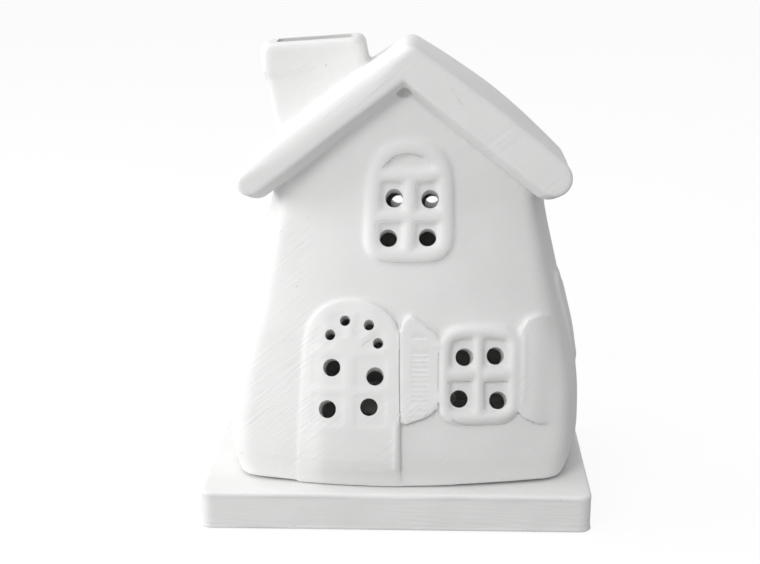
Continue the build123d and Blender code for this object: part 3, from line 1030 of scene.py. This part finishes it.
# The inside's clay is painted darker than the outside's: painted shade in the hollow, the holes and the flue.
inside_clay_painted_shade = bisque("inside_clay_painted_shade", (0.75, 0.745, 0.735), (0.68, 0.675, 0.665), 0.0, 0.00002, 0.00003)
coat(house, house_clay, inside_clay_painted_shade)


# Inside: the hollow that the poured clay leaves when the rest of it is tipped out of the mould.
# It is open at the foot, and a flue runs from it up through the stack.
flue_wall = 0.0042
flue_corner = 0.0015
foot_overrun = 0.0030


def hollow_tool(form):
    """Gives a cutting form the inside's clay, whose colour is painted darker as shade in the hollow."""
    coat(form, house_clay, inside_clay_painted_shade)
    form.data.polygons.foreach_set("material_index", [1] * len(form.data.polygons))
    return form


cavity = wall_form("cavity", lambda x, z: -wall)
cut_under_slopes(cavity, wall)
for vertex in cavity.data.vertices:
    if vertex.co.z < rim + 0.0001:
        vertex.co.z -= foot_overrun
carve(house, hollow_tool(cavity))
flue = build_up("flue", [stack_ring(z, -flue_wall, flue_corner, 0.0) for z in (0.108, cap_foot, 0.152)])
carve(house, hollow_tool(flue))


# Light holes: drilled by hand into the raw clay, each at its own slant, so that the candle shows.
# Those in the panes are larger than those in the door's fan.
light_radius = 0.0027
fan_radius = 0.0016
drill_lead = 0.0030
drill_length = 0.0134
attic_foot = 0.0809
attic_middle = 0.0035
front_holes = (
    (-0.0197, 0.0498, light_radius, 0.10, -0.44), (-0.0063, 0.0477, light_radius, -0.04, -0.58),
    (-0.0210, 0.0372, light_radius, 0.125, -0.46), (-0.0081, 0.0383, light_radius, -0.04, -0.37),
    (-0.0202, 0.0595, fan_radius, 0.0, -0.59), (-0.0157, 0.0639, fan_radius, 0.045, -0.55),
    (-0.0083, 0.0628, fan_radius, 0.026, -0.61), (-0.0055, 0.0575, fan_radius, 0.03, -0.59),
    (0.0210, 0.0529, light_radius, -0.19, -0.45), (0.0305, 0.0530, light_radius, -0.15, -0.42),
    (0.0194, 0.0404, light_radius, 0.02, -0.38), (0.0314, 0.0396, light_radius, -0.11, -0.48),
    (-0.0009, 0.1005, light_radius, 0.03, -0.53), (0.0101, 0.1002, light_radius, 0.0, -0.52),
    (-0.0026, 0.0883, light_radius, 0.0, -0.49), (0.0094, 0.0886, light_radius, 0.0, -0.48),
)
drills = []


def drill(place, inward, radius):
    """Adds one drill: a round bar along a direction, from just outside the wall through it."""
    direction = Vector(inward).normalized()
    middle = Vector(place) + direction * (drill_length / 2 - drill_lead)
    turn = direction.to_track_quat("Z", "Y").to_euler()
    bpy.ops.object.select_all(action="DESELECT")
    bpy.ops.mesh.primitive_cylinder_add(
        vertices=36, radius=radius, depth=drill_length, location=middle, rotation=turn,
    )
    bpy.ops.object.transform_apply(location=True, rotation=True)
    drills.append(hollow_tool(bpy.context.object))


def front_skin(x, z):
    """Depth of the bare front wall behind a place on the front."""
    half_width, half_depth = bell_at(z)
    corner_x = half_width * (1 - side_bow_share)
    sag = half_depth * front_bow_share
    radius = (corner_x ** 2 + sag ** 2) / (2 * sag)
    return radius - half_depth - sqrt(radius ** 2 - (x - middle_at(z)) ** 2)


for x, z, radius, sideways, downward in front_holes:
    on_door = x < 0.001 and z < 0.07
    skin = front_skin(x, z) - (door_relief if on_door else 0.0)
    drill((x, skin, z), (sideways, 1, downward), radius)
pane_middles = ((-0.0059, -0.0070), (0.0058, -0.0075), (-0.0046, 0.0059), (0.0049, 0.0060))
for side, (x, z) in window_places[1:]:
    shift = {"back": 0.0, "right": middle_at(z), "left": -middle_at(z)}[side]
    for u, v in pane_middles:
        half_width, half_depth = bell_at(z + v)
        out = (half_depth if side == "back" else half_width) + shift
        inward = Vector(facing(side, 0.06 * u / abs(u), -0.3, -1))
        drill(facing(side, x + u, z + v, out), inward, light_radius)
for u, v in ((-0.0074, 0.0086), (0.0042, 0.0086), (-0.0044, 0.0206), (0.0048, 0.0206)):
    height = attic_foot + v
    drill(facing("back", u - attic_middle, height, bell_at(height)[1]), (0.02, -1, -0.50), light_radius)
carve(house, join(drills))


# Sharp lines: where two pieces of relief meet, the mould leaves a thin crease that sponging doesn't reach.
# The left shutter's slats are a row of shallow scores, and a few stray scratches came later.
slat_breadth = 0.0026
slat_depth = 0.0006
slat_step = 0.00146


def crease(points, breadth, depth, proud=0.0):
    """Blade along a path on the front wall, sunk by a depth; a proud one only dips in with its underside."""
    places = []
    for place in through(points):
        _, spot, _, _ = house.ray_cast(Vector((place.x, -0.09, place.y)), Vector((0, 1, 0)))
        places.append(spot)
    rings = []
    turns = [pi * step / 6 for step in range(12)]
    inward = Vector((0, depth, 0))
    for index, place in enumerate(places):
        along = (places[min(index + 1, len(places) - 1)] - places[max(index - 1, 0)]).normalized()
        across = along.cross(Vector((0, 1, 0))).normalized() * (breadth / 2)
        share = 0.3 if index in (0, len(places) - 1) else 1.0
        middle = place - inward * proud
        rings.append([middle + (across * cos(turn) + inward * sin(turn)) * share for turn in turns])
    return build_up("crease", rings)


creases = (
    (((-0.0036, 0.0673), (-0.0005, 0.0640), (0.0009, 0.0608), (0.0011, 0.0556)), 0.0004, 0.0005),
    (((0.0011, 0.0560), (0.0011, 0.0504), (0.0012, 0.0430), (0.0014, 0.0352)), 0.0004, 0.0007),
    (((0.0019, 0.0322), (0.0020, 0.0246), (0.0019, 0.0168)), 0.0022, 0.0006),
    ((
        (0.0014, 0.0365), (0.0018, 0.0325), (0.0048, 0.0331), (0.0075, 0.0340), (0.0103, 0.0355),
        (0.0127, 0.0374),
    ), 0.0006, 0.0007),
    (((0.0131, 0.0548), (0.0131, 0.0494), (0.0132, 0.0425)), 0.0007, 0.0005),
    (((0.0131, 0.0400), (0.0133, 0.0360)), 0.0007, 0.0007),
    (((0.0092, 0.0622), (0.0117, 0.0607), (0.0133, 0.0587)), 0.0004, 0.0003),
    (((0.0374, 0.0363), (0.0384, 0.0350), (0.0402, 0.0337), (0.0431, 0.0320)), 0.0005, 0.0006),
    (((0.0437, 0.0316), (0.0468, 0.0313)), 0.0004, 0.0004),
    (((0.0239, 0.0315), (0.0222, 0.0296), (0.0205, 0.0273)), 0.0003, 0.0001),
    (((0.0155, 0.0458), (0.0195, 0.0456), (0.0232, 0.0457)), 0.0005, 0.0004),
    (((0.0272, 0.0453), (0.0308, 0.0452), (0.0348, 0.0454)), 0.0005, 0.0006),
    (((0.0165, 0.0571), (0.0190, 0.0580), (0.0236, 0.0582)), 0.0005, 0.0003),
    (((0.0272, 0.0581), (0.0310, 0.0578), (0.0337, 0.0570)), 0.0005, 0.0003),
    ((
        (0.0173, 0.0347), (0.0204, 0.0329), (0.0238, 0.0322), (0.0288, 0.0320), (0.0337, 0.0322),
        (0.0362, 0.0339),
    ), 0.0006, 0.0005),
    ((
        (-0.0044, 0.1097), (-0.0022, 0.1120), (0.0002, 0.1136), (0.0042, 0.1140), (0.0084, 0.1127),
    ), 0.0004, 0.0004),
    (((0.0156, 0.0845), (0.0133, 0.0819), (0.0041, 0.0811), (-0.0060, 0.0815)), 0.0004, 0.0003),
    (((0.0174, 0.1050), (0.0176, 0.0980), (0.0176, 0.0900)), 0.0004, 0.00015),
    (((-0.0054, 0.0990), (-0.0050, 0.1022), (-0.0043, 0.1050), (0.0018, 0.1057)), 0.0005, 0.0002),
    (((0.0061, 0.1015), (0.0061, 0.1052), (0.0109, 0.1055)), 0.0005, 0.0002),
    (((-0.0063, 0.0905), (-0.0060, 0.0932), (0.0006, 0.0935)), 0.0005, 0.0002),
    (((0.0055, 0.0905), (0.0056, 0.0933), (0.0121, 0.0934)), 0.0005, 0.0002),
    (((0.0161, 0.1351), (0.0182, 0.1318), (0.0203, 0.1285)), 0.0004, 0.0002),
    (((-0.0110, 0.0561), (-0.0085, 0.0577), (-0.0058, 0.0596)), 0.0004, 0.0002),
)
scores = [crease(points, breadth, depth) for points, breadth, depth in creases]
for slat in range(11):
    z = 0.0404 + slat_step * slat
    path = ((0.0044, z), (0.0074, z - 0.0001), (0.0104, z))
    scores.append(crease(path, slat_breadth, slat_depth, 0.935 + 0.015 * (slat % 3)))
for z in (0.0352, 0.0372, 0.0595):
    path = ((0.0042, z), (0.0070, z + 0.0002), (0.0096, z))
    scores.append(crease(path, slat_breadth, slat_depth, 0.92))
scores = join(scores)
coat(scores, house_clay, inside_clay_painted_shade)
carve(house, scores)
smooth(house, 38)
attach(house, "house")
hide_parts("house_shell")


# Floor and backdrop: one sheet of white paper under the object.
# It stays white to the camera and still takes the object's soft shadow.
bpy.ops.object.select_all(action="DESELECT")
bpy.ops.mesh.primitive_plane_add(size=8, location=(0, 0, -0.0002))
floor = bpy.context.object
floor.name = "floor"
bpy.ops.object.transform_apply(location=True, scale=True)
paper, tree, sheet = new_finish("white_paper")
sheet.inputs["Specular IOR Level"].default_value = 0.0
sheet.inputs["Roughness"].default_value = 1.0
place = tree.nodes.new("ShaderNodeTexCoord").outputs["Object"]
fibre = node(tree, "ShaderNodeTexNoise", Vector=place, Scale=900.0, Detail=2.0)
white = blend(tree, fibre.outputs["Fac"], (0.45, 0.45, 0.45), (0.47, 0.47, 0.47))
tree.links.new(white, sheet.inputs["Base Color"])


def show(tree, mask, usual, other, output):
    """Ends a tree with its usual shader, or with another one as far as a mask says."""
    mixed = node(tree, "ShaderNodeMixShader", Fac=mask)
    tree.links.new(usual.outputs[0], mixed.inputs[1])
    tree.links.new(other.outputs[0], mixed.inputs[2])
    tree.links.new(mixed.outputs[0], tree.nodes[output].inputs["Surface"])


glow = node(tree, "ShaderNodeEmission", Strength=1.16)
seen = tree.nodes.new("ShaderNodeLightPath")
show(tree, math(tree, "MULTIPLY", seen.outputs["Is Camera Ray"], 0.78), sheet, glow, "Material Output")
coat(floor, paper)


# Light: broad soft lamps on the left, in front, above and behind on the left.
# They stand in an even pale room, whose walls look white to the camera.
world = bpy.data.worlds.new("pale_room")
bpy.context.scene.world = world
world.use_nodes = True
tree = world.node_tree
room = tree.nodes["Background"]
room.inputs["Color"].default_value = (1, 1, 1, 1)
room.inputs["Strength"].default_value = 0.55
backdrop = node(tree, "ShaderNodeBackground", Color=(1, 1, 1, 1), Strength=1.0)
seen = tree.nodes.new("ShaderNodeLightPath")
direct = math(tree, "MAXIMUM", seen.outputs["Is Camera Ray"], seen.outputs["Is Glossy Ray"])
direct = math(tree, "MAXIMUM", direct, seen.outputs["Is Transmission Ray"])
show(tree, direct, room, backdrop, "World Output")
lamp_size = 0.5
lamp_distance = 1.1
lamp_aim = Vector((0, 0, 0.07))


def lamp(name, turn, rise, power):
    """Square soft lamp a little over a metre away, turned from the front and raised by angles in degrees."""
    light = bpy.data.lights.new(name, "AREA")
    light.size = lamp_size
    light.energy = power
    holder = bpy.data.objects.new(name, light)
    bpy.context.scene.collection.objects.link(holder)
    level = cos(radians(rise))
    away = Vector((level * sin(radians(turn)), -level * cos(radians(turn)), sin(radians(rise))))
    holder.location = lamp_aim + away * lamp_distance
    holder.rotation_euler = away.to_track_quat("Z", "Y").to_euler()


lamp("left_lamp", -85, 15, 6.0)
lamp("front_lamp", -28, 30, 4.15)
lamp("back_lamp", -120, 50, 1.8)
lamp("top_lamp", 0, 85, 1.0)


# Camera: the photograph's viewpoint, a little above the roof and almost straight on.
# Its focal length is the photograph's, in pixels of the picture's width.
picture_width = 760
focal_pixels = 1625
camera_fall = 0.24867281893
camera_turn = 0.03266053993
camera_data = bpy.data.cameras.new("camera")
camera_data.sensor_width = 36
camera_data.lens = focal_pixels / picture_width * camera_data.sensor_width
camera_data.clip_start = 0.01
camera = bpy.data.objects.new("camera", camera_data)
bpy.context.scene.collection.objects.link(camera)
camera.location = (0.0107147, -0.5166443, 0.1977325)
camera.rotation_euler = (pi / 2 - camera_fall, 0, camera_turn)
bpy.context.scene.camera = camera
bpy.context.scene.view_settings.view_transform = "Standard"
